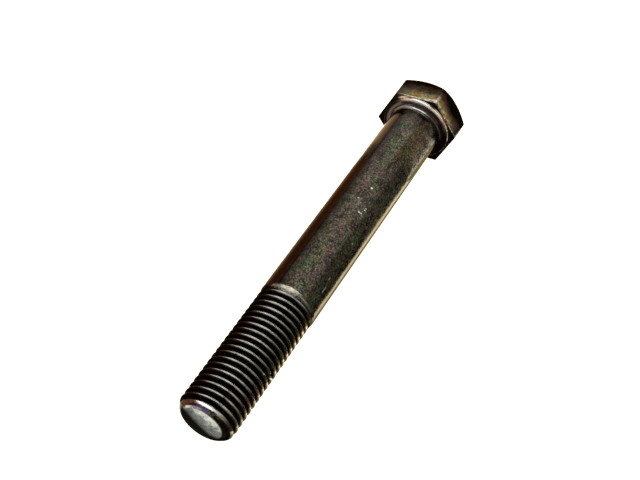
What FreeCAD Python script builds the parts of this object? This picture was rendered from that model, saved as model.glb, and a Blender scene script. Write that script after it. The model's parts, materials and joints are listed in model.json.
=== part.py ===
"""Leaf spring bolt: a long hexagon bolt with a plain shank and a cut thread, lying as it comes to rest.

It is one forged and threaded piece. Lengths are in millimetres and angles in degrees.
The solid is drawn round the X axis, with the tip's end face at x = 0 and the head at the far end, and
is then laid on the plane z = 0. One flat of the head faces down, the head's lower edge and the lowest
full crest near the tip touch the plane, and the origin is under the middle of the bolt.
"""
import FreeCAD, Part
import math
import os

import Sketcher
from FreeCAD import Placement, Rotation, Vector

NODE = "leaf_spring_bolt"

# Driving dimensions: name, value, what it measures
DIMENSIONS = [
    ("grip_length", 120.0, "from the bearing face to the tip's end face"),
    ("shank_dia", 16.0, "plain shank"),
    ("thread_dia", 15.69, "over the crests of the thread"),
    ("thread_pitch", 2.0, "from crest to crest"),
    ("thread_length", 38.3, "full thread, from the tip's end face"),
    ("runout_length", 2.7, "where the groove rises out of the shank"),
    ("groove_lead", 1.92, "from the middle of the groove's start to the tip's end face, in front of it"),
    ("tip_dia", 11.8, "where the tip's chamfer would meet the end face"),
    ("tip_angle", 45.0, "of the tip's chamfer, from the axis"),
    ("tip_round", 1.2, "radius between the end face and the chamfer"),
    ("flats_width", 22.0, "across the flats of the head"),
    ("head_height", 10.0, "from the bearing face to the top of the head"),
    ("head_top_dia", 17.8, "flat circle on top of the head"),
    ("corner_ball_radius", 19.0, "ball round a point of the axis that the head's corners are turned down to"),
    ("washer_face_dia", 21.0, "raised round face under the head"),
    ("washer_face_height", 0.5, "of the raised round face"),
    ("neck_round", 0.9, "radius between the shank and the bearing face"),
]

# Sizes that follow from the driving ones
SHANK_RADIUS = "Sizes.shank_dia / 2"
CREST_RADIUS = "Sizes.thread_dia / 2"
# The groove's depth, its width at the root and the slope of its flanks are those of a standard 60 degree thread
GROOVE_DEPTH = "0.5413 * Sizes.thread_pitch"
ROOT_RADIUS = f"{CREST_RADIUS} - {GROOVE_DEPTH}"
HALF_ROOT = "Sizes.thread_pitch / 8"
FLANK_SLOPE = "tan(30)"
THREAD_END = "Sizes.thread_length + Sizes.runout_length"
RUNOUT_SLOPE = f"({SHANK_RADIUS} - ({ROOT_RADIUS})) / Sizes.runout_length"
TIP_RADIUS = "Sizes.tip_dia / 2"
CHAMFER_END = f"({CREST_RADIUS} - {TIP_RADIUS}) / tan(Sizes.tip_angle)"
HEAD_TOP = "Sizes.grip_length + Sizes.head_height"
HEAD_TOP_RADIUS = "Sizes.head_top_dia / 2"
BALL_CENTRE = f"({HEAD_TOP} - sqrt(Sizes.corner_ball_radius ^ 2 - ({HEAD_TOP_RADIUS}) ^ 2))"
HEXAGON_START = "Sizes.grip_length + Sizes.washer_face_height"
CORNER_RADIUS = "Sizes.flats_width / sqrt(3)"
# How far the groove's outline reaches past the crests, and how far joined solids reach into each other
CUT_PAST = 0.12
JOIN = 1.0


def make_sheet(doc):
    """Write the driving dimensions into a sheet, one to a row, and give each its name as an alias."""
    sheet = doc.addObject("Spreadsheet::Sheet", "Sizes")
    for row, (name, value, note) in enumerate(DIMENSIONS, start=1):
        sheet.set(f"A{row}", name)
        sheet.set(f"B{row}", str(value))
        sheet.set(f"C{row}", note)
        sheet.setAlias(f"B{row}", name)
    doc.recompute()
    return sheet


def origin_plane(body, role):
    """Return one of the body's own origin planes."""
    return next(item for item in body.Origin.OriginFeatures if item.Role == role)


def add_sketch(body, name, role, distance=None):
    """Add a sketch on an origin plane, or at a distance from it that an expression gives."""
    sketch = body.newObject("Sketcher::SketchObject", name)
    sketch.AttachmentSupport = [(origin_plane(body, role), "")]
    sketch.MapMode = "FlatFace"
    if distance:
        sketch.setExpression("AttachmentOffset.Base.z", distance)
    return sketch


def add_outline(body, name, corners, ball=None):
    """Draw a closed outline in the XZ plane, each corner tied to two expressions: along the axis and out from it.

    With ball, two expressions for its centre on the axis and its radius, the last side is an arc round that centre.
    """
    sketch = add_sketch(body, name, "XZ_Plane")
    places = [Vector(*[float(sketch.evalExpression(size)) for size in corner], 0) for corner in corners]
    sides = [Part.LineSegment(start, end) for start, end in zip(places, places[1:] + places[:1])]
    if ball:
        centre, radius = [float(sketch.evalExpression(size)) for size in ball]
        circle = Part.Circle(Vector(centre, 0, 0), Vector(0, 0, 1), radius)
        angles = [math.atan2(place.y, place.x - centre) for place in (places[-1], places[0])]
        sides[-1] = Part.ArcOfCircle(circle, *angles)
    for side in sides:
        sketch.addGeometry(side, False)
    for line, corner in enumerate(corners):
        following = (line + 1) % len(corners)
        sketch.addConstraint(Sketcher.Constraint("Coincident", line, 2, following, 1))
        for kind, size, value in zip(("DistanceX", "DistanceY"), corner, places[line]):
            number = sketch.addConstraint(Sketcher.Constraint(kind, -1, 1, line, 1, value))
            sketch.setExpression(f"Constraints[{number}]", size)
    if ball:
        sketch.addConstraint(Sketcher.Constraint("PointOnObject", len(corners) - 1, 3, -1))
    return sketch


def add_turned(body, name, kind, corners, ball=None):
    """Turn an outline once round the axis: kind is Revolution to add it or Groove to cut it."""
    sketch = add_outline(body, f"{name}Outline", corners, ball)
    turned = body.newObject(f"PartDesign::{kind}", name)
    turned.Profile = sketch
    turned.ReferenceAxis = (sketch, ["H_Axis"])
    turned.Angle = 360
    body.Document.recompute()
    return turned


def add_fillet(body, name, radius, centre_x, edge_radius):
    """Round the circular edge that lies at centre_x on the axis and has the given radius."""
    solid = body.Tip
    place = float(solid.evalExpression(centre_x))
    size = float(solid.evalExpression(edge_radius))
    edges = [
        f"Edge{number}"
        for number, edge in enumerate(solid.Shape.Edges, start=1)
        if isinstance(edge.Curve, Part.Circle)
        and abs(edge.Curve.Center.x - place) < 1e-4
        and abs(edge.Curve.Radius - size) < 1e-4
    ]
    fillet = body.newObject("PartDesign::Fillet", name)
    fillet.Base = (solid, edges)
    fillet.setExpression("Radius", radius)
    body.Document.recompute()
    return fillet


def add_blank(body):
    """Add the part of the rod that is threaded, with the tip's chamfer and its rounded rim."""
    blank_end = f"{THREAD_END} + 1.5 * Sizes.thread_pitch"
    corners = [
        ("0", "0"),
        (blank_end, "0"),
        (blank_end, CREST_RADIUS),
        (CHAMFER_END, CREST_RADIUS),
        ("0", TIP_RADIUS),
    ]
    add_turned(body, "Blank", "Revolution", corners)
    add_fillet(body, "TipRound", "Sizes.tip_round", "0", TIP_RADIUS)


def add_thread(body):
    """Cut the right-hand groove, from in front of the tip to past the end of the thread."""
    half_mouth = f"{HALF_ROOT} + ({GROOVE_DEPTH} + {CUT_PAST}) * {FLANK_SLOPE}"
    mouth_radius = f"{CREST_RADIUS} + {CUT_PAST}"
    corners = [
        (f"-Sizes.groove_lead - ({HALF_ROOT})", ROOT_RADIUS),
        (f"-Sizes.groove_lead + {HALF_ROOT}", ROOT_RADIUS),
        (f"-Sizes.groove_lead + {half_mouth}", mouth_radius),
        (f"-Sizes.groove_lead - ({half_mouth})", mouth_radius),
    ]
    sketch = add_outline(body, "GrooveOutline", corners)
    groove = body.newObject("PartDesign::SubtractiveHelix", "ThreadGroove")
    groove.Profile = sketch
    groove.ReferenceAxis = (sketch, ["H_Axis"])
    groove.Mode = "pitch-height-angle"
    groove.setExpression("Pitch", "Sizes.thread_pitch")
    groove.setExpression("Height", f"Sizes.groove_lead + {THREAD_END} + Sizes.thread_pitch / 2")
    groove.HasBeenEdited = True
    body.Document.recompute()


def add_shank(body):
    """Add the plain shank, whose tapered start fills the last turns of the groove from the root up."""
    start = f"Sizes.thread_length - {JOIN}"
    end = f"{HEXAGON_START} + {JOIN}"
    corners = [
        (start, "0"),
        (end, "0"),
        (end, SHANK_RADIUS),
        (THREAD_END, SHANK_RADIUS),
        (start, f"{ROOT_RADIUS} - {JOIN} * {RUNOUT_SLOPE}"),
    ]
    add_turned(body, "Shank", "Revolution", corners)


def add_hexagon(body):
    """Add the head's six flats, one of them facing down."""
    sketch = add_sketch(body, "HexagonOutline", "YZ_Plane", HEXAGON_START)
    radius = float(sketch.evalExpression(CORNER_RADIUS))
    turn = Rotation(Vector(0, 0, 1), 60)
    corners = [Vector(radius, 0, 0)]
    while len(corners) < 6:
        corners.append(turn.multVec(corners[-1]))
    for start, end in zip(corners, corners[1:] + corners[:1]):
        sketch.addGeometry(Part.LineSegment(start, end), False)
    guide = sketch.addGeometry(Part.Circle(Vector(0, 0, 0), Vector(0, 0, 1), radius), True)
    sketch.addConstraint(Sketcher.Constraint("Coincident", guide, 3, -1, 1))
    for line in range(6):
        sketch.addConstraint(Sketcher.Constraint("Coincident", line, 2, (line + 1) % 6, 1))
        sketch.addConstraint(Sketcher.Constraint("PointOnObject", line, 1, guide))
    for line in range(1, 6):
        sketch.addConstraint(Sketcher.Constraint("Equal", 0, line))
    sketch.addConstraint(Sketcher.Constraint("PointOnObject", 0, 1, -1))
    number = sketch.addConstraint(Sketcher.Constraint("Radius", guide, radius))
    sketch.setExpression(f"Constraints[{number}]", CORNER_RADIUS)
    head = body.newObject("PartDesign::Pad", "Hexagon")
    head.Profile = sketch
    head.setExpression("Length", f"{HEAD_TOP} - ({HEXAGON_START})")
    body.Document.recompute()


def add_washer_face(body):
    """Add the raised round bearing face under the head, and round the corner where the shank meets it."""
    sketch = add_sketch(body, "WasherFaceOutline", "YZ_Plane", "Sizes.grip_length")
    circle = sketch.addGeometry(Part.Circle(Vector(0, 0, 0), Vector(0, 0, 1), 10), False)
    sketch.addConstraint(Sketcher.Constraint("Coincident", circle, 3, -1, 1))
    number = sketch.addConstraint(Sketcher.Constraint("Diameter", circle, 20))
    sketch.setExpression(f"Constraints[{number}]", "Sizes.washer_face_dia")
    face = body.newObject("PartDesign::Pad", "WasherFace")
    face.Profile = sketch
    face.setExpression("Length", f"Sizes.washer_face_height + {JOIN}")
    body.Document.recompute()
    add_fillet(body, "NeckRound", "Sizes.neck_round", "Sizes.grip_length", SHANK_RADIUS)


def cut_head_corners(body):
    """Turn the head's corners down to a large ball that meets its top in the flat circle."""
    square = "Sizes.corner_ball_radius ^ 2"
    outside = f"{CORNER_RADIUS} + {JOIN}"
    above = f"{HEAD_TOP} + {JOIN}"
    corners = [
        (f"{BALL_CENTRE} + sqrt({square} - ({outside}) ^ 2)", outside),
        (above, outside),
        (above, f"sqrt({square} - ({above} - {BALL_CENTRE}) ^ 2)"),
    ]
    add_turned(body, "HeadChamfer", "Groove", corners, (BALL_CENTRE, "Sizes.corner_ball_radius"))


def lay_down(body):
    """Lay the bolt down on the head's lower edge and the end of the tip's chamfer, where a crest is lowest.

    The origin is then under the middle of the bolt's length.
    """
    drop = f"(Sizes.flats_width / 2 - {CREST_RADIUS})"
    tilt = f"atan({drop} / ({HEXAGON_START} - {CHAMFER_END}))"
    head_reach = f"({HEAD_TOP}) * cos({tilt}) + {HEAD_TOP_RADIUS} * sin({tilt})"
    face_radius = f"({TIP_RADIUS} - Sizes.tip_round * tan(Sizes.tip_angle / 2))"
    body.Placement = Placement(Vector(0, 0, 0), Rotation(Vector(0, -1, 0), 1))
    body.setExpression("Placement.Rotation.Angle", tilt)
    body.setExpression("Placement.Base.x", f"-({head_reach} - {face_radius} * sin({tilt})) / 2")
    body.setExpression("Placement.Base.z", f"{CREST_RADIUS} * cos({tilt}) - {CHAMFER_END} * sin({tilt})")


def check(doc, body):
    """Stop if any object of the document failed, or if the bolt isn't one sound solid."""
    for item in doc.Objects:
        if {"Invalid", "Error"} & set(item.State):
            raise RuntimeError(f"{item.Name} failed: {item.State}")
    shape = body.Shape
    if shape.isNull() or not shape.isValid() or len(shape.Solids) != 1:
        raise RuntimeError(f"{body.Label} isn't one sound solid")


def main():
    doc = FreeCAD.newDocument("LeafSpringBolt")
    make_sheet(doc)
    body = doc.addObject("PartDesign::Body", "Bolt")
    body.Label = NODE
    add_blank(body)
    add_thread(body)
    add_shank(body)
    add_hexagon(body)
    add_washer_face(body)
    cut_head_corners(body)
    lay_down(body)
    doc.recompute()
    check(doc, body)
    os.makedirs("parts", exist_ok=True)
    body.Shape.exportStep(f"parts/{body.Label}.step")
    print(body.Label, round(body.Shape.Volume, 1), body.Shape.BoundBox)


main()
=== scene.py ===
"""Looks of a leaf spring bolt: its dressed mesh, blackened steel finish, studio and camera.

Sizes of the bolt are in millimetres in the bolt's own frame: distance from the tip's end face along the
axis, and angle round the axis from the top towards -Y. Places in the studio are in metres in the row frame.
"""

import json
import logging
import math
from dataclasses import dataclass, field
from enum import Enum
from typing import Any, Dict, List, Optional, Sequence, Tuple, Union

import bpy
import numpy as np
from mathutils import Matrix, Vector


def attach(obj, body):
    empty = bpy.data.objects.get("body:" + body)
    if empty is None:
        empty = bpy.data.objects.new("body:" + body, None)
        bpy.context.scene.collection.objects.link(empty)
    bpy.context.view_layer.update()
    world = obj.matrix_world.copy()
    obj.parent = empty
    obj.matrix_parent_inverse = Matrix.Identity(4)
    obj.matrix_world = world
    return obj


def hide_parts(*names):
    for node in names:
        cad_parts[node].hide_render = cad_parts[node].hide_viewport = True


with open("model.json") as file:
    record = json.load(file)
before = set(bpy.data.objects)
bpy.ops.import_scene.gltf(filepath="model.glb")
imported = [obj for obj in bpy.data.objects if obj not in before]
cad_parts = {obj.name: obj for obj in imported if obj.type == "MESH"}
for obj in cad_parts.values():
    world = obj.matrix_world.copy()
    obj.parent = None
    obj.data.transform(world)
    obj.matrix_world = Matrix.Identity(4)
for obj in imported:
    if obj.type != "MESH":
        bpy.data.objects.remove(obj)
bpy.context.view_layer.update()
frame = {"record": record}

NODE = "leaf_spring_bolt"
BODY = "root"
MM = 0.001
TURN = 2.0 * math.pi
# Values that the mesh keeps at its points for the finish
KEPT = ("crest", "groove", "edge")
# Share of a spot's squared reach within which it is at full strength
SPOT_CORE = 0.35

Place = Tuple[float, float, float]
Colour = Tuple[float, float, float]
log = logging.getLogger("bolt")


def soft_min(first: np.ndarray, second: np.ndarray, blend: float) -> np.ndarray:
    """Return the lower of two values, rounded over where they cross.

    Formula: half of the sum less the root of the squared difference plus the squared blend.

    Args:
        first: Values of the first line.
        second: Values of the second line.
        blend: How wide the rounding is.

    Returns:
        The rounded minimum.
    """
    return 0.5 * (first + second - np.sqrt((first - second) ** 2 + blend * blend))


def soft_max(first: np.ndarray, second: np.ndarray, blend: float) -> np.ndarray:
    """Return the higher of two values, rounded where they cross, as the mirrored soft minimum."""
    return -soft_min(-first, -second, blend)


def smooth_step(value: np.ndarray, low: float, high: float) -> np.ndarray:
    """Return 0 below low and 1 above high, with a cubic rise between them."""
    share = np.clip((value - low) / (high - low), 0.0, 1.0)
    return share * share * (3.0 - 2.0 * share)


@dataclass(frozen=True)
class BoltAxes:
    """The bolt's own frame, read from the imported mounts."""

    tip: np.ndarray
    along: np.ndarray
    up: np.ndarray
    right: np.ndarray

    @classmethod
    def from_record(cls, record: Dict[str, Any]) -> "BoltAxes":
        """Work out the axis and the tip from the thread's mount and the head's upper flat.

        Args:
            record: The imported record.

        Returns:
            The bolt's frame, with its tip in millimetres.
        """
        mounts = {mount["name"]: mount for mount in record["mounts"]}
        along = -np.array(mounts["thread"]["axis"], float)
        along /= np.linalg.norm(along)
        up = np.array(mounts["upper_flat"]["axis"], float)
        up -= along * (up @ along)
        up /= np.linalg.norm(up)
        middle = np.array(mounts["thread"]["pos_m"], float) / MM
        tip = middle - along * mounts["thread"]["dims"]["length_mm"] / 2.0
        return cls(tip, along, up, np.cross(along, up))

    def place(self, along: np.ndarray, radius: np.ndarray, angle: np.ndarray) -> np.ndarray:
        """Return points of the row frame, in metres, for places round the bolt.

        Formula: tip + along * axis + radius * (cos(angle) * up + sin(angle) * right).

        Args:
            along: Distance from the tip's end face.
            radius: Distance from the axis.
            angle: Angle round the axis from the top towards -Y, in radians.

        Returns:
            An array with one more dimension, of length 3.
        """
        along, radius, angle = np.broadcast_arrays(along, radius, angle)
        out = along[..., None] * self.along
        out = out + (radius * np.cos(angle))[..., None] * self.up
        out = out + (radius * np.sin(angle))[..., None] * self.right
        return (self.tip + out) * MM


@dataclass(frozen=True)
class Nick:
    """A small dent in the steel: where it is, how far it reaches and how deep it goes."""

    along: float
    angle: float
    reach_along: float
    reach_angle: float
    depth: float

    def cut(self, along: np.ndarray, angle: np.ndarray) -> np.ndarray:
        """Return how much the dent takes off the radius: a bell curve along and round the bolt."""
        turn = (np.degrees(angle) - self.angle + 180.0) % 360.0 - 180.0
        far = ((along - self.along) / self.reach_along) ** 2 + (turn / self.reach_angle) ** 2
        return self.depth * np.exp(-far)


@dataclass
class Threaded:
    """The tip and the thread up to its runout into the shank."""

    pitch: float = 2.0
    crest_radius: float = 7.845
    root_radius: float = 6.762
    crest_half: float = 0.15
    first_crest: float = 3.08
    flank: float = math.tan(math.radians(60.0))
    crest_round: float = 0.28
    root_round: float = 0.12
    thread_end: float = 38.3
    runout: float = 2.7
    shank_radius: float = 8.0
    end_curve: float = 80.0
    chamfer_radius: float = 7.80
    chamfer_end: float = 2.65
    chamfer_bulge: float = 0.345
    tip_blend: float = 0.7
    cone_blend: float = 0.05
    shank_blend: float = 0.02
    ring_start: float = 0.7
    ring_end: float = 41.2
    tip_rings: int = 14
    nicks: Tuple[Nick, ...] = (
        Nick(19.7, 90.0, 0.9, 5.0, 0.55),
        Nick(17.4, 67.4, 0.3, 4.0, 0.10),
        Nick(13.3, 9.5, 0.3, 3.5, 0.10),
        Nick(5.6, 20.4, 0.3, 3.0, 0.12),
        Nick(27.1, 11.8, 0.3, 3.0, 0.08),
        Nick(27.3, 34.2, 0.3, 3.0, 0.08),
        Nick(9.3, 150.0, 0.4, 6.0, 0.16),
        Nick(23.9, -100.0, 0.4, 5.0, 0.14),
        Nick(31.6, -150.0, 0.4, 7.0, 0.12),
    )

    def phases(self) -> np.ndarray:
        """Return the mesh's rows across one pitch, crowded on the crest, the flanks' ends and the root."""
        half = np.array([0.06, 0.115, 0.16, 0.22, 0.32, 0.44, 0.56, 0.66, 0.73, 0.80, 0.89])
        return np.concatenate(([0.0], half, [self.pitch / 2.0], self.pitch - half[::-1]))

    def tip_radius(self, along: np.ndarray) -> np.ndarray:
        """Return the tip's radius.

        Formula: a lightly crowned end, radius = root of (curve * distance), meets a bulging chamfer that
        falls away from the crests with the square of the distance from its end, and both are blended.
        """
        crown = np.sqrt(self.end_curve * np.maximum(along, 0.0))
        chamfer = self.chamfer_radius - self.chamfer_bulge * np.maximum(self.chamfer_end - along, 0.0) ** 2
        beyond = self.chamfer_radius + (along - self.chamfer_end)
        return soft_min(crown, np.where(along < self.chamfer_end, chamfer, beyond), self.tip_blend)

    def height(self, along: np.ndarray, angle: np.ndarray) -> np.ndarray:
        """Return the radius of the endless thread.

        Formula: the distance from the nearest crest line, whose place grows by a pitch with each turn,
        gives a line that falls at 60 degrees, which is cut off and rounded at the crest and at the root.
        """
        phase = along - self.first_crest - self.pitch * angle / TURN
        off = np.abs((phase + self.pitch / 2.0) % self.pitch - self.pitch / 2.0)
        flank = self.crest_radius + (self.crest_half - off) * self.flank
        lifted = soft_max(flank, np.full_like(flank, self.root_radius), self.root_round)
        rise = self.crest_half * self.flank
        lift = 0.5 * (math.hypot(rise, self.crest_round) - rise)
        return soft_min(lifted, np.full_like(flank, self.crest_radius + lift), self.crest_round)

    def radius(self, along: np.ndarray, angle: np.ndarray) -> np.ndarray:
        """Return the radius at a place: thread, cut by the tip and filled by the cone of the runout."""
        thread = self.height(along, angle)
        for nick in self.nicks:
            thread = thread - nick.cut(along, angle)
        slope = (self.shank_radius - self.root_radius) / self.runout
        cone = self.root_radius + (along - self.thread_end) * slope
        filled = soft_max(thread, cone, self.cone_blend)
        ended = soft_min(filled, np.full_like(filled, self.shank_radius), self.shank_blend)
        ended = np.where(along > self.thread_end + self.runout + 0.1, self.shank_radius, ended)
        return soft_min(ended, self.tip_radius(along), 0.06 * (along < 6.0))

    def crest(self, along: np.ndarray, angle: np.ndarray) -> np.ndarray:
        """Return how near the surface is to the top of the thread: 0 at the root and 1 at the crest."""
        share = (self.height(along, angle) - self.root_radius) / (self.crest_radius - self.root_radius)
        fade = 1.0 - smooth_step(along, self.thread_end + 0.9, self.thread_end + 1.4)
        return np.clip(share, 0.0, 1.0) * fade

    def groove(self, along: np.ndarray, angle: np.ndarray) -> np.ndarray:
        """Return how deep in the thread the surface lies: 1 at the root, 0 at crests and off the thread."""
        depth = (self.crest_radius - self.radius(along, angle)) / (self.crest_radius - self.root_radius)
        return np.clip(depth, 0.0, 1.0) * smooth_step(along, 1.5, 1.95)


@dataclass
class Corner:
    """A corner of a turned outline: where it is, how far its rounding reaches and the rows before it."""

    along: Union[float, np.ndarray]
    radius: Union[float, np.ndarray]
    cut: float = 0.0
    rows: int = 1
    bend: int = 4
    edge: float = 0.0


@dataclass
class HexHead:
    """The head: neck fillet, raised washer face, six flats and the corners turned down to a ball."""

    start: float = 120.0
    washer_radius: float = 10.5
    washer_height: float = 0.5
    flats: float = 22.0
    corner_round: float = 0.4
    top: float = 130.0
    top_radius: float = 8.9
    ball: float = 19.0
    neck: float = 0.55
    neck_reach: float = 0.75
    neck_foot: float = 0.55
    shank_radius: float = 8.0
    shank_end: float = 118.0

    def outline(self, angle: np.ndarray) -> np.ndarray:
        """Return the distance from the axis to the side of the rounded hexagon.

        Formula: half the flats' width over the cosine of the angle from the middle of a flat, and near a
        corner the far side of a small circle that touches both flats.
        """
        sixth = math.pi / 3.0
        off = np.abs((angle + sixth / 2.0) % sixth - sixth / 2.0)
        flat = self.flats / 2.0 / np.cos(off)
        centre = (self.flats / 2.0 - self.corner_round) / math.cos(sixth / 2.0)
        side = centre * np.sin(sixth / 2.0 - off)
        inside = self.corner_round ** 2 - side ** 2
        arc = centre * np.cos(sixth / 2.0 - off) + np.sqrt(np.maximum(inside, 0.0))
        touch = math.atan2(self.corner_round * 0.5, centre + self.corner_round * math.cos(sixth / 2.0))
        return np.where(sixth / 2.0 - off < touch, arc, flat)

    def corners(self, angle: np.ndarray) -> List[Corner]:
        """Return the outline from the end of the shank to the top of the head, one value for each angle."""
        side = self.outline(angle)
        centre = self.top - math.sqrt(self.ball ** 2 - self.top_radius ** 2)
        shoulder = centre + np.sqrt(self.ball ** 2 - side ** 2)
        middle = (side + self.top_radius) / 2.0
        washer_top = self.start + self.washer_height
        return [
            Corner(self.shank_end, self.shank_radius),
            Corner(self.start - self.neck_reach, self.shank_radius, self.neck, 3, 5),
            Corner(self.start, self.shank_radius + self.neck_foot, 0.35, 1, 5),
            Corner(self.start, self.washer_radius, 0.40, 3, 6, 1.0),
            Corner(washer_top, self.washer_radius, 0.06, 2, 3, 0.3),
            Corner(washer_top, side, 0.24, 2, 5, 1.0),
            Corner(shoulder, side, 0.40, 9, 6, 0.8),
            Corner(centre + np.sqrt(self.ball ** 2 - middle ** 2), middle, 0.0, 2),
            Corner(self.top, self.top_radius, 0.45, 2, 6, 0.8),
            Corner(self.top, 4.5, 0.0, 5),
            Corner(self.top, 0.4, 0.0, 4),
        ]


def carried_outline(corners: Sequence[Corner], count: int) -> Tuple[np.ndarray, np.ndarray, np.ndarray]:
    """Carry an outline round the axis and round its corners off.

    Formula: straight runs between the corners, each divided evenly, and at a corner with a cut a
    parabola that leaves one run and meets the next at the cut's distance from the corner.

    Args:
        corners: The outline's corners, with a number or one value for each angle.
        count: How many angles there are.

    Returns:
        Distance along the axis, radius, and closeness to an edge, each as rows by angles.
    """
    points = [np.stack([np.broadcast_to(c.along, count), np.broadcast_to(c.radius, count)]) for c in corners]
    rows: List[np.ndarray] = [points[0]]
    edges: List[float] = [0.0]
    leave = points[0]
    for index in range(1, len(corners)):
        corner, here = corners[index], points[index]
        way = here - points[index - 1]
        meet = here - way / np.linalg.norm(way, axis=0) * corner.cut
        for step in range(1, corner.rows + 1):
            rows.append(leave + (meet - leave) * step / corner.rows)
            edges.append(corner.edge * (step == corner.rows) * 0.5)
        leave = here
        if corner.cut:
            onward = points[index + 1] - here
            leave = here + onward / np.linalg.norm(onward, axis=0) * corner.cut
            for step in range(1, corner.bend + 1):
                share = step / corner.bend
                rows.append((1 - share) ** 2 * meet + 2 * share * (1 - share) * here + share ** 2 * leave)
                edges.append(corner.edge * (0.5 + 2.0 * share * (1 - share)))
    table = np.stack(rows)
    closeness = np.repeat(np.array(edges)[:, None], count, axis=1)
    return table[:, 0], table[:, 1], closeness


@dataclass
class BoltMesh:
    """The whole bolt as one closed surface, ringed at tip, shank and head and sheared along the thread."""

    axes: BoltAxes
    threaded: Threaded = field(default_factory=Threaded)
    head: HexHead = field(default_factory=HexHead)
    shank_step: float = 1.6
    fan: Tuple[float, ...] = (0.4, 0.9, 1.5, 2.3, 3.6, 5.6, 8.4, 12.0, 16.0, 20.5, 25.0)

    def angles(self) -> np.ndarray:
        """Return the columns' angles: every sixth of a turn is alike, and crowded near the corners."""
        off = np.array(self.fan)
        sixth = np.concatenate((-off[::-1], [0.0], off, [30.0]))
        turn = (sixth[None, :] + 30.0 + 60.0 * np.arange(6)[:, None]).ravel() % 360.0
        return np.radians(np.sort(turn))

    def thread_rows(self) -> Tuple[np.ndarray, np.ndarray]:
        """Return the places of the sheared rows at the bolt's top, and the places across one pitch.

        The rows start at least a full pitch before the first ring, so the thread is whole from there on.
        """
        part = self.threaded
        phases = part.phases()
        ahead = math.ceil((part.first_crest - part.ring_start) / part.pitch + 1.0)
        first = part.first_crest - part.pitch * ahead
        turns = int(math.ceil((part.ring_end - first) / part.pitch)) + 1
        starts = first + part.pitch * np.arange(turns)
        return (starts[:, None] + phases[None, :]).ravel(), phases

    def build(self) -> Tuple[np.ndarray, np.ndarray, Dict[str, np.ndarray]]:
        """Build the surface.

        Formula: plain rings carry the outline of tip, shank and head. Between them each thread row
        climbs by one pitch in a turn, and where it would leave the threaded stretch it runs along the
        stretch's first or last ring, so its quads shrink to triangles there.

        Returns:
            Vertices in metres, faces as rows of four indices (the last repeated in a triangle), and the
            values kept for the finish.
        """
        part = self.threaded
        angle = self.angles()
        count = len(angle)
        share = np.arange(1, part.tip_rings + 1) / part.tip_rings
        tip_rows = (part.ring_start * share ** 2)[:, None] + 0.0 * angle[None, :]
        tip_radius = part.radius(tip_rows, np.broadcast_to(angle, tip_rows.shape))
        tip_radius[0] = part.tip_radius(tip_rows[0])

        base, phases = self.thread_rows()
        climb = base[:, None] + part.pitch * angle[None, :] / TURN
        low, high = climb < part.ring_start + 0.02, climb > part.ring_end - 0.02
        turned = np.broadcast_to(angle, climb.shape)

        shank_end = self.head.shank_end
        steps = int(round((shank_end - part.ring_end) / self.shank_step))
        shank_rows = np.linspace(part.ring_end, shank_end, steps + 1)[:-1, None] + 0.0 * angle[None, :]
        shank_radius = np.full_like(shank_rows, part.shank_radius)
        head_along, head_radius, head_edge = carried_outline(self.head.corners(angle), count)

        after_along = np.vstack((shank_rows, head_along))
        after_radius = np.vstack((shank_radius, head_radius))
        after_edge = np.vstack((np.zeros_like(shank_rows), head_edge))

        tip_index = 1 + np.arange(tip_rows.size).reshape(tip_rows.shape)
        own = ~(low | high)
        thread_index = np.zeros(climb.shape, int)
        thread_index[own] = 1 + tip_rows.size + np.arange(int(own.sum()))
        after_start = 1 + tip_rows.size + int(own.sum())
        after_index = after_start + np.arange(after_along.size).reshape(after_along.shape)
        columns = np.broadcast_to(np.arange(count), climb.shape)
        thread_index[low] = tip_index[-1][columns[low]]
        thread_index[high] = after_index[0][columns[high]]
        last = after_start + after_along.size

        plain_tip, plain_after = np.zeros_like(tip_rows), np.zeros_like(after_along)
        values = {
            "along": self.joined(tip_rows, climb[own], after_along, self.head.top),
            "radius": self.joined(tip_radius, part.radius(climb, turned)[own], after_radius),
            "around": self.joined(plain_tip + angle, turned[own], plain_after + angle),
            "crest": self.joined(plain_tip, part.crest(climb, turned)[own], plain_after),
            "groove": self.joined(plain_tip, part.groove(climb, turned)[own], plain_after),
            "edge": self.joined(plain_tip, np.zeros(own.sum()), after_edge),
        }

        faces = [self.ring_faces(tip_index), self.ring_faces(after_index)]
        faces.append(self.sheared_faces(thread_index, len(phases)))
        first_ring, last_ring = tip_index[0], after_index[-1]
        pole = np.zeros_like(first_ring)
        faces.append(np.stack([pole, np.roll(first_ring, -1), first_ring, first_ring], axis=1))
        following = np.roll(last_ring, -1)
        faces.append(np.stack([pole + last, last_ring, following, following], axis=1))
        points = self.axes.place(values["along"], values["radius"], values["around"])
        return points, np.concatenate(faces), values

    @staticmethod
    def joined(tip: np.ndarray, thread: np.ndarray, after: np.ndarray, top: float = 0.0) -> np.ndarray:
        """Line a value up as the vertices are numbered, with the two poles at its ends."""
        return np.concatenate(([0.0], tip.ravel(), thread, after.ravel(), [top]))

    @staticmethod
    def ring_faces(index: np.ndarray) -> np.ndarray:
        """Return the quads between plain rings, closed round the turn and facing outwards."""
        following = np.roll(index, -1, axis=1)
        quads = np.stack([index[:-1], following[:-1], following[1:], index[1:]], axis=-1)
        return quads.reshape(-1, 4)

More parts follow.
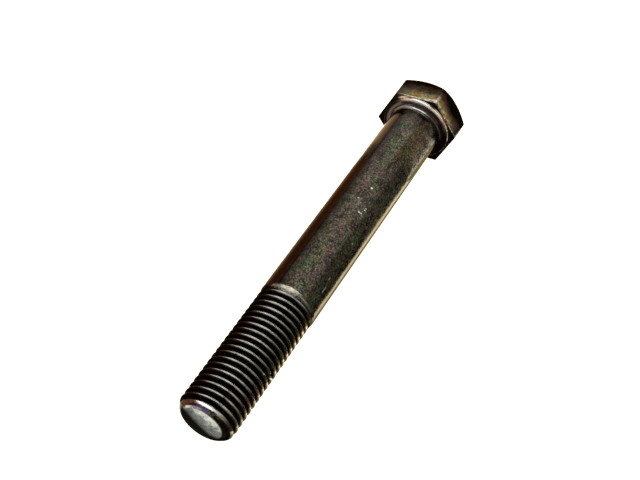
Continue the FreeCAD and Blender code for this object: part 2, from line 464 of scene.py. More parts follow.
    @staticmethod
    def sheared_faces(index: np.ndarray, per_turn: int) -> np.ndarray:
        """Return the quads between climbing rows, whose last column meets the first one a turn later.

        Args:
            index: Vertex numbers as rows by columns.
            per_turn: How many rows one turn climbs.

        Returns:
            The quads, without those that the end rings have swallowed.
        """
        extended = np.concatenate((index[:-per_turn], index[per_turn:, :1]), axis=1)
        here, following = extended[:, :-1], extended[:, 1:]
        quads = np.stack([here[:-1], following[:-1], following[1:], here[1:]], axis=-1).reshape(-1, 4)
        left, right = quads[:, 0] == quads[:, 3], quads[:, 1] == quads[:, 2]
        quads = quads[~(left & right)]
        left, right = quads[:, 0] == quads[:, 3], quads[:, 1] == quads[:, 2]
        quads[right, 2] = quads[right, 3]
        quads[left, 3] = quads[left, 2]
        return quads


class Operation(Enum):
    """What a Math node works out, under Blender's own names."""

    ADD = "ADD"
    SUBTRACT = "SUBTRACT"
    MULTIPLY = "MULTIPLY"
    DIVIDE = "DIVIDE"
    POWER = "POWER"
    ABSOLUTE = "ABSOLUTE"
    MAXIMUM = "MAXIMUM"
    ARCTAN2 = "ARCTAN2"


class Wire:
    """A value in a node tree. Arithmetic on it adds Math nodes to the tree."""

    def __init__(self, bench: "Bench", socket: Any) -> None:
        """Keep the tree that the value belongs to and the socket that carries it."""
        self.bench = bench
        self.socket = socket

    def work_out(self, operation: Operation, *values: Any) -> "Wire":
        """Add a Math node and return its value."""
        return self.bench.add("ShaderNodeMath", {"operation": operation.value}, dict(enumerate(values)))

    def __add__(self, other: Any) -> "Wire":
        """Return the sum."""
        return self.work_out(Operation.ADD, self, other)

    __radd__ = __add__

    def __sub__(self, other: Any) -> "Wire":
        """Return the difference."""
        return self.work_out(Operation.SUBTRACT, self, other)

    def __rsub__(self, other: Any) -> "Wire":
        """Return the difference of a number and this value."""
        return self.work_out(Operation.SUBTRACT, other, self)

    def __mul__(self, other: Any) -> "Wire":
        """Return the product."""
        return self.work_out(Operation.MULTIPLY, self, other)

    __rmul__ = __mul__

    def __truediv__(self, other: Any) -> "Wire":
        """Return the quotient."""
        return self.work_out(Operation.DIVIDE, self, other)

    def __pow__(self, other: Any) -> "Wire":
        """Return the power."""
        return self.work_out(Operation.POWER, self, other)

    def __abs__(self) -> "Wire":
        """Return the absolute value."""
        return self.work_out(Operation.ABSOLUTE, self)

    def most(self, other: Any) -> "Wire":
        """Return the higher of two values."""
        return self.work_out(Operation.MAXIMUM, self, other)

    def rise(self, low: float, high: float) -> "Wire":
        """Return 0 below low and 1 above high, rising smoothly between, or a fall if low is higher."""
        if low > high:
            return 1.0 - self.rise(high, low)
        settings = {"interpolation_type": "SMOOTHSTEP", "clamp": True}
        sockets = {"Value": self, "From Min": low, "From Max": high}
        return self.bench.add("ShaderNodeMapRange", settings, sockets)


class Bench:
    """A material's node tree, with one method that adds any node."""

    def __init__(self, name: str) -> None:
        """Make a material with an empty tree."""
        self.material = bpy.data.materials.new(name)
        self.material.use_nodes = True
        self.tree = self.material.node_tree
        self.tree.nodes.clear()

    def add(self, kind: str, settings: Optional[Dict[str, Any]] = None,
            sockets: Optional[Dict[Any, Any]] = None, output: Any = 0) -> Wire:
        """Add a node, set it up and connect it.

        Args:
            kind: Blender's name of the node's type.
            settings: Properties, set before the sockets. A ramp's are given as stops.
            sockets: Values or wires by the name or number of the input.
            output: Name or number of the output to return.

        Returns:
            The chosen output.
        """
        node = self.tree.nodes.new(kind)
        for name, value in (settings or {}).items():
            if name == "stops":
                self.set_stops(node.color_ramp, value)
            else:
                setattr(node, name, value)
        for name, value in (sockets or {}).items():
            if isinstance(value, Wire):
                self.tree.links.new(value.socket, node.inputs[name])
            else:
                node.inputs[name].default_value = value
        if not len(node.outputs):
            return Wire(self, None)
        return Wire(self, node.outputs[output])

    @staticmethod
    def set_stops(ramp: Any, stops: Sequence[Tuple[float, Colour]]) -> None:
        """Give a colour ramp its stops, each a place and a colour."""
        while len(ramp.elements) < len(stops):
            ramp.elements.new(1.0)
        for element, (place, colour) in zip(ramp.elements, stops):
            element.position = place
            element.color = (*colour, 1.0)

    def value(self, name: str) -> Wire:
        """Return a number that the mesh keeps at its points."""
        return self.add("ShaderNodeAttribute", {"attribute_name": name}, output="Fac")

    def vector(self, name: str) -> Wire:
        """Return a vector that the mesh keeps at its points."""
        return self.add("ShaderNodeAttribute", {"attribute_name": name}, output="Vector")

    def mix(self, share: Any, under: Any, over: Any) -> Wire:
        """Lay one colour over another by a share from 0 to 1."""
        settings = {"data_type": "RGBA", "blend_type": "MIX", "clamp_factor": True}
        paint = [(*colour, 1.0) if isinstance(colour, tuple) else colour for colour in (under, over)]
        return self.add("ShaderNodeMix", settings, {"Factor": share, 6: paint[0], 7: paint[1]}, 2)

    def coat(self, colour: Wire, layers: Sequence[Tuple[Wire, Colour]]) -> Wire:
        """Lay colours over a first one in turn, each by its own share."""
        for share, over in layers:
            colour = self.mix(share, colour, over)
        return colour

    def noise(self, place: Wire, scale: float, detail: float = 3.0, rough: float = 0.55,
              distortion: float = 0.0) -> Wire:
        """Return cloudy noise between 0 and 1 at a place."""
        sockets = {"Vector": place, "Scale": scale, "Detail": detail, "Roughness": rough,
                   "Distortion": distortion}
        return self.add("ShaderNodeTexNoise", {"noise_dimensions": "3D"}, sockets, "Fac")

    def stretch(self, place: Wire, shift: Place, scale: Place = (1.0, 1.0, 1.0)) -> Wire:
        """Return a place scaled and moved, so that a pattern is drawn out or starts elsewhere."""
        moved = self.add("ShaderNodeVectorMath", {"operation": "MULTIPLY"}, {0: place, 1: scale})
        return self.add("ShaderNodeVectorMath", {"operation": "ADD"}, {0: moved, 1: shift})


@dataclass(frozen=True)
class Spot:
    """A patch of the finish: middle and reach along the bolt in mm and round it in degrees."""

    along: float
    angle: float
    reach_along: float
    reach_angle: float
    strength: float = 1.0
    ragged: float = 1.6


@dataclass(frozen=True)
class Look:
    """What the finish is mixed from: places in the bolt's own frame, kept values, noises and shared masks.

    The masks are the head's top, the side away from the photograph, both of these, all that lies past the
    bearing face, and the step from the washer face to the hexagon.
    """

    along: Wire
    right: Wire
    up: Wire
    radius: Wire
    angle: Wire
    crest: Wire
    groove: Wire
    edge: Wire
    grain: Wire
    tint: Wire
    blotch: Wire
    cloud: Wire
    drift: Wire
    speck: Wire
    crown: Wire
    far_side: Wire
    unseen: Wire
    head: Wire
    step: Wire

    @classmethod
    def read(cls, bench: Bench) -> "Look":
        """Read the values that the mesh keeps and add the noises and masks."""
        place = bench.vector("place")
        parts = {"Vector": place}
        along, right, up = [bench.add("ShaderNodeSeparateXYZ", {}, parts, axis) for axis in range(3)]
        angle = right.work_out(Operation.ARCTAN2, right, up) * (180.0 / math.pi)
        radius = (right * right + up * up) ** 0.5
        drawn = bench.stretch(place, (-17.0, 3.0, 40.0), (0.7, 1.0, 1.0))
        noises = {
            "grain": bench.noise(place, 2.1, 2.0, 0.6),
            "tint": bench.noise(bench.stretch(place, (61.0, 15.0, -9.0)), 0.75, 4.0, 0.7),
            "blotch": bench.noise(bench.stretch(place, (31.0, 5.0, 9.0)), 0.42, 4.0, 0.6, 0.4),
            "cloud": bench.noise(drawn, 0.34, 4.0, 0.6, 0.4),
            "drift": bench.noise(bench.stretch(place, (9.0, -27.0, 71.0)), 0.17, 2.0, 0.5),
            "speck": bench.noise(bench.stretch(place, (7.0, 77.0, 1.0)), 4.2, 2.0, 0.5),
        }
        crown = along.rise(129.4, 129.9) * radius.rise(9.4, 8.6)
        far_side = abs(angle - 5.0).rise(98.0, 118.0)
        masks = {
            "crown": crown,
            "far_side": far_side,
            "unseen": crown.most(far_side * 0.8),
            "head": along.rise(119.9, 119.95),
            "step": along.rise(120.2, 120.4) * along.rise(121.4, 120.7),
        }
        kept = {name: bench.value(name) for name in KEPT}
        return cls(along=along, right=right, up=up, radius=radius, angle=angle, **kept, **noises, **masks)

    def patch(self, spot: Spot, ragged: Wire) -> Wire:
        """Return a soft-edged patch round the bolt: 1 at its middle, 0 outside, ragged by a noise."""
        along = (self.along - spot.along) / spot.reach_along
        angle = (self.angle - spot.angle) / spot.reach_angle
        far = along ** 2.0 + angle ** 2.0 + (ragged - 0.5) * spot.ragged
        return far.rise(1.0, SPOT_CORE) * spot.strength


@dataclass(frozen=True)
class BlackenedSteel:
    """Dark oxide on steel, stained brown, olive and purple, with steel showing where it is worn, and with
    painted shade and painted highlights laid into the colour.

    A mask is a product of rises: along the bolt and out from its axis in mm, and round it in degrees. The
    bearing face is at 120 mm, the hexagon starts at 120.5 mm and the head's top is at 130 mm.
    """

    oxide: Colour = (0.0265, 0.0250, 0.0175)
    brown: Colour = (0.0370, 0.0255, 0.0120)
    olive: Colour = (0.0220, 0.0330, 0.0130)
    purple: Colour = (0.0410, 0.0200, 0.0230)
    teal: Colour = (0.0150, 0.0290, 0.0230)
    light_grain: Colour = (0.115, 0.108, 0.080)
    # Near black, for random dark mottle and for painted shade near the neck and on the head's top
    deep: Colour = (0.004, 0.003, 0.002)
    shadow: Colour = (0.010, 0.003, 0.001)
    # Dull black of grime and painted shade
    grime_and_shade: Colour = (0.0010, 0.0006, 0.0005)
    rust: Colour = (0.045, 0.0095, 0.0020)
    head_scale: Colour = (0.042, 0.018, 0.0035)
    maroon: Colour = (0.020, 0.0050, 0.0045)
    indigo: Colour = (0.040, 0.030, 0.090)
    steel: Colour = (0.480, 0.465, 0.430)
    head_olive: Colour = (0.130, 0.108, 0.033)
    head_brown: Colour = (0.150, 0.078, 0.023)
    tan: Colour = (0.46, 0.33, 0.24)
    # Near-white colour of the painted highlight on the washer face's ring
    rim: Colour = (0.92, 0.87, 0.85)
    cream: Colour = (0.46, 0.44, 0.33)
    # Painted shade across the cut end: dark at its lower left, light at its upper right
    end_shade_stops: Tuple[Tuple[float, Colour], ...] = (
        (0.0, (0.002, 0.004, 0.006)), (0.16, (0.009, 0.018, 0.026)), (0.36, (0.046, 0.068, 0.080)),
        (0.56, (0.100, 0.115, 0.125)), (0.78, (0.270, 0.310, 0.330)), (1.0, (0.380, 0.440, 0.440)))
    collar: Spot = Spot(40.4, 12.0, 1.0, 50.0, 0.95, 1.0)
    collar_faint: Spot = Spot(40.2, 26.0, 0.8, 66.0, 0.18, 1.2)
    # Bare steel on the tip's chamfer where its highlight falls: a painted highlight
    chamfer_shine: Spot = Spot(1.10, 7.0, 0.42, 28.0, 0.9, 0.5)
    under_shine: Spot = Spot(120.5, -18.0, 0.6, 15.0, 0.9, 0.8)
    tip_rust: Spot = Spot(1.15, -38.0, 0.65, 22.0, 0.9, 0.8)
    tip_purple: Spot = Spot(0.60, 2.0, 0.35, 30.0, 0.9, 0.6)
    rim_stains: Tuple[Spot, ...] = (
        Spot(120.4, 30.0, 0.45, 7.0, 0.65, 0.8), Spot(120.4, 66.0, 0.45, 16.0, 0.65, 0.8))
    scratches: Tuple[Spot, ...] = (
        Spot(47.8, 68.5, 1.5, 1.8, 1.0, 0.8), Spot(51.4, 64.0, 0.7, 1.2, 0.7, 0.8))
    sparkles: Tuple[Spot, ...] = (
        Spot(13.35, 10.0, 0.35, 6.0), Spot(5.6, 20.4, 0.35, 5.0), Spot(27.1, 11.0, 0.3, 4.0),
        Spot(27.35, 34.0, 0.3, 4.0), Spot(17.4, 67.4, 0.5, 4.0), Spot(19.8, 86.0, 0.45, 5.0))
    flecks: Tuple[Spot, ...] = (
        Spot(83.5, 27.3, 0.36, 2.7, 1.0, 0.5), Spot(78.1, 16.7, 0.3, 2.2, 0.6, 0.5),
        Spot(75.8, 41.6, 0.3, 2.2, 0.8, 0.5), Spot(76.5, 41.8, 0.3, 2.2, 0.6, 0.5),
        Spot(74.0, 34.0, 0.35, 2.5, 0.8, 0.5), Spot(74.1, 38.9, 0.3, 2.2, 0.7, 0.5),
        Spot(77.4, 75.6, 0.3, 2.5, 0.7, 0.5), Spot(64.9, 61.3, 0.35, 2.5, 0.7, 0.5))
    grime_and_shade_cover: float = 0.97
    base_rough: float = 0.17
    bump_strength: float = 0.35
    bump_height: float = 0.06

    def skin(self, bench: Bench, look: Look) -> Wire:
        """Return the oxide's colour, mottled at sizes from half a millimetre to six, with painted shade near
        the neck and on the left side.
        """
        light = look.grain.rise(0.48, 0.70) * (0.46 + look.drift.rise(0.42, 0.62) * 0.18)
        left = (look.angle + (look.blotch - 0.5) * 40.0).rise(8.0, -24.0)
        return bench.coat(bench.mix(look.blotch.rise(0.42, 0.62), self.oxide, self.brown), (
            (look.cloud.rise(0.50, 0.62) * 0.9, self.olive),
            (look.cloud.rise(0.50, 0.38) * 0.9, self.purple),
            (look.tint.rise(0.54, 0.66) * 0.7, self.teal),
            (look.tint.rise(0.46, 0.36) * 0.6, self.purple),
            (look.blotch.rise(0.54, 0.36) * 0.55, self.deep),
            (look.drift.rise(0.56, 0.36) * 0.26, self.deep),
            (light, self.light_grain),
            (look.grain.rise(0.50, 0.32) * 0.62, self.deep),
            # Painted shade: darker near the head's neck
            (look.along.rise(111.5, 118.0) * look.angle.rise(-40.0, -10.0) * 0.75, self.deep),
            (look.tint.rise(0.52, 0.64) * look.blotch.rise(0.46, 0.60) * 0.35, self.light_grain),
            # Painted shade on the shank's left side
            (left * (1.0 - look.far_side.most(look.crown)) * 0.75, self.shadow),
        ))

    def on_head(self, bench: Bench, look: Look, colour: Wire) -> Wire:
        """Stain the head's flats olive and brown, with painted light over the stain: brighter towards the
        washer face and the right, dark towards the top.
        """
        # Painted light: the stain's share changes with the side and falls towards the top
        turned = look.angle.rise(-36.0, 6.0) * 0.70 + 0.06 - look.angle.rise(48.0, 84.0) * 0.60
        fade = look.along + (look.blotch - 0.5) * 5.0 + (look.tint - 0.5) * 3.0
        share = (fade + look.angle.rise(25.0, 50.0) * 0.9).rise(125.0, 121.6) * turned
        share = share * (0.20 + look.grain.rise(0.3, 0.7) * 0.95 + look.tint.rise(0.36, 0.62) * 0.80)
        stain = bench.mix(look.cloud.rise(0.42, 0.58), self.head_olive, self.head_brown)
        return bench.mix(look.head * (1.0 - look.unseen), colour, bench.mix(share, self.deep, stain))

    def tip_shade(self, look: Look) -> Wire:
        """Return where the tip is painted black as shade: right of its rim and chamfer, and the end's lower
        left.
        """
        # Painted shade on the tip's right side and on the end's lower left
        end = look.along.rise(0.9, 0.5)
        rim = look.radius.rise(5.0, 5.6) * end * look.angle.rise(20.0, 45.0)
        low = (look.right + look.up + (look.tint - 0.5) * 1.6).rise(0.4, -3.0) * end
        chamfer = look.along.rise(0.45, 0.6) * look.along.rise(2.6, 2.4) * look.angle.rise(34.0, 62.0)
        return rim.most(low).most(chamfer)

    def head_shade_and_stains(self, look: Look) -> Wire:
        """Return where the head is painted black: painted shade on its outer edges and its lower right, and
        dark spots on the rim.
        """
        # Painted shade: darker towards the head's top, sooner on its right
        outer = look.along + (look.blotch - 0.5) * 4.0 + look.angle.rise(25.0, 60.0) * 1.2
        outer = outer.rise(123.0, 126.6) * (1.0 - look.unseen)
        # Painted shade on the head's lower right and on the step to the hexagon
        right = look.angle.rise(70.0, 92.0).most(look.angle.rise(34.0, 70.0) * look.radius.rise(9.3, 9.0))
        right = right * look.along.rise(119.3, 119.6) * (1.0 - look.crown)
        right = right * (1.0 - look.far_side * look.along.rise(120.6, 121.2))
        right = right.most(look.step * look.angle.rise(24.0, 34.0) * 0.45)
        for spot in self.rim_stains:
            right = right.most(look.patch(spot, look.grain))
        return outer.most(right)

    def thin_shade(self, look: Look) -> Wire:
        """Return where painted shade lies at part strength: left of the washer face and on both sides of the
        shank.
        """
        washer = look.radius.rise(9.1, 9.7) * look.along.rise(119.8, 119.95) * look.along.rise(120.7, 120.4)
        by_neck = look.along.rise(119.40, 119.55) * look.radius.rise(9.3, 8.9) * look.angle.rise(-14.0, 2.0)
        shank = look.along.rise(41.0, 43.0)
        # Painted shade, mottled, along the shank's left side
        band = look.angle.rise(-38.0, -52.0) * look.along.rise(118.5, 117.0) * shank
        band = band * (look.blotch * 0.5 + look.grain * 0.7).rise(0.50, 0.72) * 0.55
        # Painted shade on the head's left: the step, the washer face and by the neck
        left = look.angle.rise(-22.0, -44.0) * look.step * 0.92
        left = left.most(washer * look.angle.rise(-28.0, -48.0) * 0.78).most(by_neck * 0.70).most(band)
        # Painted shade: a darker strip along the shank's right side
        right = look.angle.rise(50.0, 66.0) * look.angle.rise(92.0, 84.0) * look.along.rise(118.0, 114.0)
        right = right * shank * (look.blotch * 0.6 + look.grain * 0.6).rise(0.68, 0.50) * 0.70
        return (left * (1.0 - look.far_side)).most(right)

    def worn_head(self, look: Look) -> Wire:
        """Return how much steel shows on the washer rim, the fillet and the flats' corners and edges. On the
        washer rim it is partly a painted highlight, and on the fillet a painted highlight, kept to where
        their highlights fall.
        """
        # Washer rim: worn steel kept to where its highlight falls, partly a painted highlight
        ring = look.radius.rise(9.55, 9.95) * look.radius.rise(10.7, 10.6) * look.head
        ring = ring * look.angle.rise(-36.0, -14.0) * look.angle.rise(84.0, 40.0) * (0.55 + look.grain * 0.8)
        for spot in self.rim_stains:
            ring = ring * (1.0 - look.patch(spot, look.grain))
        # Fillet: bare steel where its highlight falls, a painted highlight
        bend = look.along - look.angle.rise(10.0, -24.0) * 0.45
        neck = bend.rise(118.0, 118.3) * bend.rise(119.38, 119.12) * look.angle.rise(-64.0, -44.0)
        neck = neck * look.angle.rise(48.0, 16.0).most(0.12) * (0.45 + look.grain * 0.6)
        fringe = look.along.rise(120.3, 120.6) * look.along.rise(122.4, 120.9) * look.angle.rise(0.0, 26.0)
        fringe = fringe * look.angle.rise(78.0, 40.0) * look.tint.rise(0.36, 0.60) * 0.60
        corner = look.radius.rise(12.35, 12.60) * look.along.rise(125.8, 121.0) * look.tint.rise(0.40, 0.55)
        corner = corner * look.angle.rise(-20.0, 10.0) * 0.5
        return ring.most(neck).most(fringe).most(corner)

    def bright_spots(self, look: Look) -> Wire:
        """Return how much steel shows on the collar, the tip's chamfer, scratches, flecks and specks. On the
        chamfer it is a painted highlight.
        """
        collar = look.patch(self.collar, look.tint) * look.grain.rise(0.20, 0.66) * 0.45
        bright = look.speck.rise(0.735, 0.78) * look.blotch.rise(0.45, 0.6) * 0.35
        for spot in self.sparkles:
            bright = bright.most(look.patch(spot, look.grain) * look.crest.rise(0.7, 0.95))
        for spot in self.scratches + self.flecks:
            bright = bright.most(look.patch(spot, look.grain) * 0.7)
        bright = bright.most(look.patch(self.chamfer_shine, look.tint)) * 0.9
        return collar.most(look.patch(self.collar_faint, look.grain)).most(bright)

    def bare(self, look: Look) -> Wire:
        """Return how much bare steel shows on crests, edges, head and bright spots. On the crests it is
        raised on the top and along the lower right, partly wear and partly a painted highlight.
        """
        # Crest wear strongest on the top: partly real wear, partly a painted highlight
        top = look.angle.rise(-46.0, 16.0) * (1.0 - look.angle.rise(40.0, 80.0) * 0.80)
        top = top.most(look.far_side * 0.6)
        # Bare crests along the lower right silhouette: a painted highlight
        beads = look.angle.rise(88.0, 98.0)
        worn = look.crest.rise(0.40, 0.85)
        crest = worn * ((0.26 + look.blotch.rise(0.25, 0.6) * 0.24) * top.most(0.08)).most(beads * 0.9)
        edge = look.edge.rise(0.35, 0.9) * look.tint.rise(0.35, 0.60)
        edge = edge * (0.10 + look.angle.rise(-34.0, -8.0) * 0.4)
        return crest.most(edge).most(self.worn_head(look)).most(self.bright_spots(look))

    def end_face(self, bench: Bench, look: Look, colour: Wire) -> Wire:
        """Lay the cut end's steel over the colour: an oval in painted shade, light at its upper right and
        darkening towards its lower left.
        """
        mottle = (look.grain - 0.5) * 6.0 + (look.blotch - 0.5) * 4.0 + (look.tint - 0.5) * 9.0
        # Painted shade: the ramp's place rises towards the end's upper right
        slope = (look.right * 0.95 - abs(look.right) * 0.25 + look.up * 1.15 + mottle + 2.7) / 9.8
        steel = bench.add("ShaderNodeValToRGB", {"stops": self.end_shade_stops}, {"Fac": slope}, "Color")
        oval = ((look.right + 0.1) / 5.35) ** 2.0 + (look.up / 5.15) ** 2.0 + look.right * look.up * 0.006
        oval = oval + (look.grain - 0.5) * 0.25
        rim = look.radius.rise(5.25, 5.55) * look.radius.rise(6.1, 5.85) * look.angle.rise(-66.0, -40.0)
        rim = rim * look.angle.rise(10.0, -10.0) * look.tint.rise(0.32, 0.60)
        inside = (1.0 - look.along.rise(0.32, 0.60)) * oval.rise(1.08, 0.90)
        return bench.mix(rim * 0.8, bench.mix(inside, colour, steel), self.steel)

    def steel_shader(self, bench: Bench, look: Look, bare: Wire) -> Wire:
        """Return the steel's own shader.

        Args:
            bench: The tree that it is made in.
            look: What the finish is mixed from.
            bare: How much bare steel shows.

        Returns:
            The shader, with its colours, painted highlights, rust, roughness and relief.
        """
        rust = look.patch(self.tip_rust, look.grain)
        collar = look.patch(self.collar, look.tint)
        ring = look.head * look.radius.rise(9.5, 9.9) * look.radius.rise(10.46, 10.2)
        inner = look.angle.rise(10.0, -24.0) * 0.35 + 119.4
        face = (look.along - inner).rise(0.0, 0.15) * look.along.rise(120.3, 120.1)
        face = face * look.radius.rise(9.9, 9.5)
        # Painted highlight: tan on the washer's rim under the hexagon
        under = look.patch(self.under_shine, look.grain) * look.radius.rise(11.2, 10.95)
        # Painted highlight: near-white colour on the washer face's outer ring
        bright = ring * look.angle.rise(-26.0, -2.0) * look.angle.rise(52.0, 24.0) * (0.4 + look.grain * 0.7)
        colour = bench.coat(self.on_head(bench, look, self.skin(bench, look)), (
            (look.patch(self.tip_purple, look.grain), self.indigo),
            (face, self.maroon),
            (bare, self.steel),
            (under * look.radius.rise(10.3, 10.5), self.tan),
            (bright, self.rim),
            (collar * look.grain.rise(0.2, 0.6) * 0.48, self.cream),
        ))
        colour = bench.mix(rust, self.end_face(bench, look, colour), self.rust)
        fillet = look.along.rise(118.4, 118.9) * look.radius.rise(8.8, 8.5) * look.angle.rise(4.0, -12.0)
        rough = self.base_rough + (look.grain - 0.5) * 0.10 + (look.blotch - 0.5) * 0.12
        rough = rough + collar * 0.22 + ring * 0.40 + fillet * 0.25
        relief = look.grain * 0.6 + look.blotch * 0.5 + look.tint * 0.4
        bump = {"Strength": self.bump_strength, "Distance": self.bump_height * MM, "Height": relief}
        normal = bench.add("ShaderNodeBump", {}, bump, "Normal")
        sockets = {"Base Color": colour, "Metallic": 1.0 - rust.most(face), "Roughness": rough,
                   "Normal": normal}
        return bench.add("ShaderNodeBsdfPrincipled", {}, sockets, "BSDF")

    def grime_and_shade_shader(self, bench: Bench, look: Look) -> Wire:
        """Return the dull black shader of grime and painted shade, with a brown scale showing through it on
        the head's flats.
        """
        fade = look.along + look.angle.rise(25.0, 60.0) * 2.3
        scale = look.along.rise(121.5, 123.0) * fade.rise(127.6, 125.2) * look.angle.rise(-34.0, -6.0)
        scale = scale * look.tint.rise(0.34, 0.60) * (0.5 + look.grain * 0.7) * look.angle.rise(90.0, 70.0)
        colour = bench.mix(scale, self.grime_and_shade, self.head_scale)
        sockets = {"Base Color": colour, "Roughness": 0.9, "Specular IOR Level": 0.0}
        return bench.add("ShaderNodeBsdfPrincipled", {}, sockets, "BSDF")

    def make(self) -> bpy.types.Material:
        """Make the material: steel, and a dull black of grime and painted shade over it wherever the steel
        isn't bare.
        """
        bench = Bench("blackened_steel")
        look = Look.read(bench)
        bare = self.bare(look)
        # Grease and painted shade in the thread's grooves, painted shade on the tip and head
        full = look.groove.rise(0.0, 0.24).most(self.tip_shade(look)).most(self.head_shade_and_stains(look))
        grime_and_shade = (full * self.grime_and_shade_cover).most(self.thin_shade(look))
        shaders = {1: self.steel_shader(bench, look, bare), 2: self.grime_and_shade_shader(bench, look)}
        surface = bench.add("ShaderNodeMixShader", {}, {0: grime_and_shade * (1.0 - bare), **shaders})
        bench.add("ShaderNodeOutputMaterial", {}, {"Surface": surface})
        return bench.material


@dataclass
class DressedBolt:
    """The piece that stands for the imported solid."""

    axes: BoltAxes
    finish: BlackenedSteel = field(default_factory=BlackenedSteel)

    def make(self) -> bpy.types.Object:
        """Build the mesh, keep its values and dress it.

        Returns:
            The finished piece.
        """
        shape = BoltMesh(self.axes)
        points, faces, values = shape.build()
        mesh = bpy.data.meshes.new("bolt")
        triangle = faces[:, 2] == faces[:, 3]
        sizes = np.where(triangle, 3, 4)
        keep = np.ones(faces.shape, bool)
        keep[triangle, 3] = False
        mesh.vertices.add(len(points))
        mesh.vertices.foreach_set("co", points.astype(np.float32).ravel())
        mesh.loops.add(int(sizes.sum()))
        mesh.loops.foreach_set("vertex_index", faces[keep].astype(np.int32))
        mesh.polygons.add(len(faces))
        starts = np.concatenate(([0], np.cumsum(sizes)[:-1])).astype(np.int32)
        mesh.polygons.foreach_set("loop_start", starts)
        mesh.update(calc_edges=True)
        mesh.validate()
        mesh.shade_smooth()
        local = np.stack([values["along"], values["radius"] * np.sin(values["around"]),
                          values["radius"] * np.cos(values["around"])], axis=1)
        kept = mesh.attributes.new("place", "FLOAT_VECTOR", "POINT")
        kept.data.foreach_set("vector", local.astype(np.float32).ravel())
        for name in KEPT:
            kept = mesh.attributes.new(name, "FLOAT", "POINT")
            kept.data.foreach_set("value", values[name].astype(np.float32))
        piece = bpy.data.objects.new("bolt_surface", mesh)
        bpy.context.scene.collection.objects.link(piece)
        mesh.materials.append(self.finish.make())
        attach(piece, BODY)
        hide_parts(NODE)
        return piece


@dataclass
class Camera:
    """The camera at the photograph's viewing angle."""

    place: Place = (-0.189856, -0.110683, 0.218009)
    ahead: Place = (0.62583, 0.37500, -0.68389)
    upward: Place = (0.62158, 0.28985, 0.72776)
    lens: float = 63.159
    sensor: float = 36.0

    def make(self) -> bpy.types.Object:
        """Make the camera and turn it: its local Z looks back along the view and its local Y upwards."""
        data = bpy.data.cameras.new("camera")
        data.lens = self.lens
        data.sensor_width = self.sensor
        data.sensor_fit = "HORIZONTAL"
        data.clip_start = 0.005
        back = -Vector(self.ahead).normalized()
        side = Vector(self.upward).cross(back).normalized()
        camera = bpy.data.objects.new("camera", data)
        turn = Matrix((side, back.cross(side), back)).transposed()
        camera.matrix_world = Matrix.Translation(self.place) @ turn.to_4x4()
        bpy.context.scene.collection.objects.link(camera)
        bpy.context.scene.camera = camera
        return camera


@dataclass(frozen=True)
class SoftLight:
    """A soft box: where it hangs, what it is aimed at, its size and how brightly its face shines."""

    name: str
    elevation: float
    azimuth: float
    distance: float
    width: float
    height: float
    shine: float
    spread: float = 180.0

    def make(self) -> bpy.types.Object:
        """Hang the box round the origin, azimuth 0 being towards +Y and 90 towards +X.

        A box of W watts and A square metres shines with W / (pi * A) watts per square metre and steradian.
        """
        data = bpy.data.lights.new(self.name, "AREA")
        data.shape = "RECTANGLE"
        data.size, data.size_y = self.width, self.height
        data.energy = self.shine * math.pi * self.width * self.height
        data.spread = math.radians(self.spread)
        level, turn = math.radians(self.elevation), math.radians(self.azimuth)
        way = Vector((math.cos(level) * math.sin(turn), math.cos(level) * math.cos(turn), math.sin(level)))
        light = bpy.data.objects.new(self.name, data)
        aim = way.to_track_quat("Z", "Y").to_matrix().to_4x4()
        light.matrix_world = Matrix.Translation(way * self.distance) @ aim
        bpy.context.scene.collection.objects.link(light)
        return light


@dataclass(frozen=True)
class Card:
    """A card along one side of the bolt, standing or lying, that only the bolt's reflections see.

    It runs along X from start to end. Foot and head are its edges' places along Y and Z, and the stops
    are what it shines with from foot to head.
    """

    name: str
    start: float
    end: float
    foot: Tuple[float, float]
    head: Tuple[float, float]
    stops: Tuple[Tuple[float, Colour], ...]
    strength: float = 4.0

    def make(self) -> bpy.types.Object:
        """Stand the card up, and hide it from everything but glossy rays."""
        mesh = bpy.data.meshes.new(self.name)
        points = [(along, *self.foot) for along in (self.start, self.end)]
        points += [(along, *self.head) for along in (self.end, self.start)]
        mesh.from_pydata(points, [], [(0, 1, 2, 3)])
        kept = mesh.attributes.new("height", "FLOAT", "POINT")
        kept.data.foreach_set("value", [0.0, 0.0, 1.0, 1.0])
        bench = Bench(self.name)
        height = {"Fac": bench.value("height")}
        shine = bench.add("ShaderNodeValToRGB", {"stops": self.stops}, height, "Color")
        glow = bench.add("ShaderNodeEmission", {}, {"Color": shine, "Strength": self.strength})
        bench.add("ShaderNodeOutputMaterial", {}, {"Surface": glow})
        mesh.materials.append(bench.material)
        card = bpy.data.objects.new(self.name, mesh)
        bpy.context.scene.collection.objects.link(card)
        card.visible_camera = card.visible_diffuse = card.visible_shadow = card.visible_transmission = False
        return card


# Where the cards stand, along Y, and how high those lie that line the floor, in metres
RIGHT = -0.0150
LEFT = 0.0225
ON_FLOOR = 0.0002


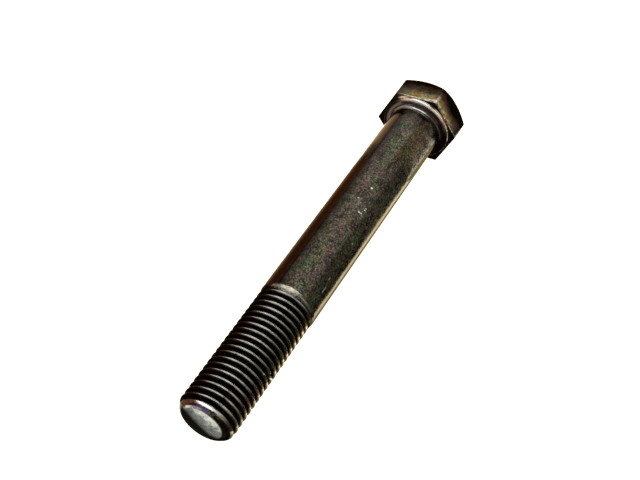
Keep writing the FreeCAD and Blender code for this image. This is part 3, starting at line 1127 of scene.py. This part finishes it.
@dataclass
class Studio:
    """Plain pale floor, soft boxes, cards that only reflections see, and a dark surround."""

    floor_size: float = 3.0
    floor_colour: Colour = (0.40, 0.35, 0.26)
    floor_glow: Colour = (1.30, 1.18, 1.00)
    surround: Colour = (0.03, 0.02, 0.015)
    lights: Tuple[SoftLight, ...] = (
        SoftLight("top_box", 90.0, 0.0, 1.0, 1.1, 1.1, 3.0),
        SoftLight("side_box", 37.0, 101.0, 1.0, 2.2, 0.90, 1.12, 112.0),
        SoftLight("front_box", 30.0, -64.0, 1.0, 1.9, 0.5, 3.6),
        SoftLight("near_box", 14.0, -135.0, 1.0, 1.0, 0.4, 2.2),
    )
    # The cards paint what the bolt's sides reflect: dark ones stand for shade beside the bolt, bright ones
    # for light off the floor
    cards: Tuple[Card, ...] = (
        Card("right_card", -0.066, 0.012, (RIGHT, 0.0), (RIGHT, 0.019), (
            (0.0, (0.06, 0.037, 0.010)), (0.22, (0.055, 0.045, 0.018)), (0.36, (0.08, 0.09, 0.06)),
            (0.55, (0.155, 0.165, 0.135)), (1.0, (0.20, 0.20, 0.17)))),
        Card("right_card_2", 0.012, 0.043, (RIGHT, 0.0), (RIGHT, 0.019), (
            (0.0, (0.21, 0.18, 0.105)), (0.22, (0.17, 0.155, 0.09)), (0.36, (0.11, 0.12, 0.075)),
            (0.55, (0.16, 0.165, 0.13)), (1.0, (0.21, 0.205, 0.17)))),
        Card("head_card", 0.043, 0.16, (RIGHT, 0.0), (RIGHT, 0.040), (
            (0.0, (1.15, 1.05, 0.88)), (0.25, (0.62, 0.56, 0.44)), (0.5, (0.40, 0.35, 0.26)),
            (1.0, (0.36, 0.33, 0.26)))),
        # Painted shadow: a card lying on the floor, seen only in reflections, bright away from the bolt and
        # dark under it
        Card("right_floor_shadow", -0.066, 0.043, (RIGHT, ON_FLOOR), (0.0, ON_FLOOR), (
            (0.0, (0.85, 0.70, 0.45)), (0.23, (1.05, 0.87, 0.54)), (0.31, (0.40, 0.32, 0.17)),
            (0.41, (0.100, 0.077, 0.043)), (0.50, (0.075, 0.060, 0.038)), (1.0, (0.065, 0.052, 0.034)))),
        # Painted shadow: the floor's shade by the head, seen only in reflections
        Card("head_floor_shadow", 0.043, 0.075, (RIGHT, ON_FLOOR), (0.0, ON_FLOOR), (
            (0.0, (0.20, 0.145, 0.050)), (1.0, (0.060, 0.040, 0.013)))),
        Card("left_card", -0.10, 0.048, (LEFT, 0.0), (LEFT, 0.030), (
            (0.0, (0.125, 0.068, 0.030)), (0.16, (0.11, 0.072, 0.033)), (0.29, (0.095, 0.058, 0.028)),
            (0.44, (0.065, 0.021, 0.007)), (0.70, (0.085, 0.026, 0.0060)), (1.0, (0.20, 0.105, 0.042)))),
        Card("left_card_2", 0.048, 0.054, (LEFT, 0.004), (LEFT, 0.027), (
            (0.0, (0.18, 0.13, 0.08)), (0.3, (0.12, 0.070, 0.030)), (1.0, (0.14, 0.080, 0.032)))),
        Card("left_card_3", 0.054, 0.10, (LEFT, 0.006), (LEFT, 0.027), (
            (0.0, (0.28, 0.18, 0.09)), (1.0, (0.32, 0.20, 0.10)))),
    )

    def floor_finish(self) -> bpy.types.Material:
        """Make the floor's matt pale finish, with the faintest unevenness."""
        bench = Bench("pale_floor")
        place = bench.add("ShaderNodeTexCoord", {}, {}, "Object")
        cloud = bench.noise(place, 6.0, 2.0)
        lighter = tuple(min(1.0, channel * 1.02) for channel in self.floor_colour)
        colour = bench.mix(cloud, self.floor_colour, lighter)
        sockets = {"Base Color": colour, "Roughness": 0.9, "Specular IOR Level": 0.1,
                   "Emission Color": (*self.floor_glow, 1.0), "Emission Strength": 1.0}
        surface = bench.add("ShaderNodeBsdfPrincipled", {}, sockets, "BSDF")
        bench.add("ShaderNodeOutputMaterial", {}, {"Surface": surface})
        return bench.material

    def make(self) -> None:
        """Lay the floor, hang the lights and set the surround and the picture's tone."""
        half = self.floor_size / 2.0
        mesh = bpy.data.meshes.new("floor")
        mesh.from_pydata([(-half, -half, 0.0), (half, -half, 0.0), (half, half, 0.0), (-half, half, 0.0)],
                         [], [(0, 1, 2, 3)])
        mesh.materials.append(self.floor_finish())
        floor = bpy.data.objects.new("floor", mesh)
        bpy.context.scene.collection.objects.link(floor)
        for light in self.lights:
            light.make()
        for card in self.cards:
            card.make()
        world = bpy.data.worlds.new("surround")
        world.use_nodes = True
        world.node_tree.nodes["Background"].inputs["Color"].default_value = (*self.surround, 1.0)
        bpy.context.scene.world = world
        bpy.context.scene.view_settings.view_transform = "Standard"
        bpy.context.scene.view_settings.look = "None"


def main() -> None:
    """Build camera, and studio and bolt."""
    logging.basicConfig(level=logging.INFO, format="%(message)s")
    axes = BoltAxes.from_record(frame["record"])
    Camera().make()
    Studio().make()
    piece = DressedBolt(axes).make()
    log.info("%s: %d points, %d faces", piece.name, len(piece.data.vertices), len(piece.data.polygons))


if __name__ == "__main__":
    main()
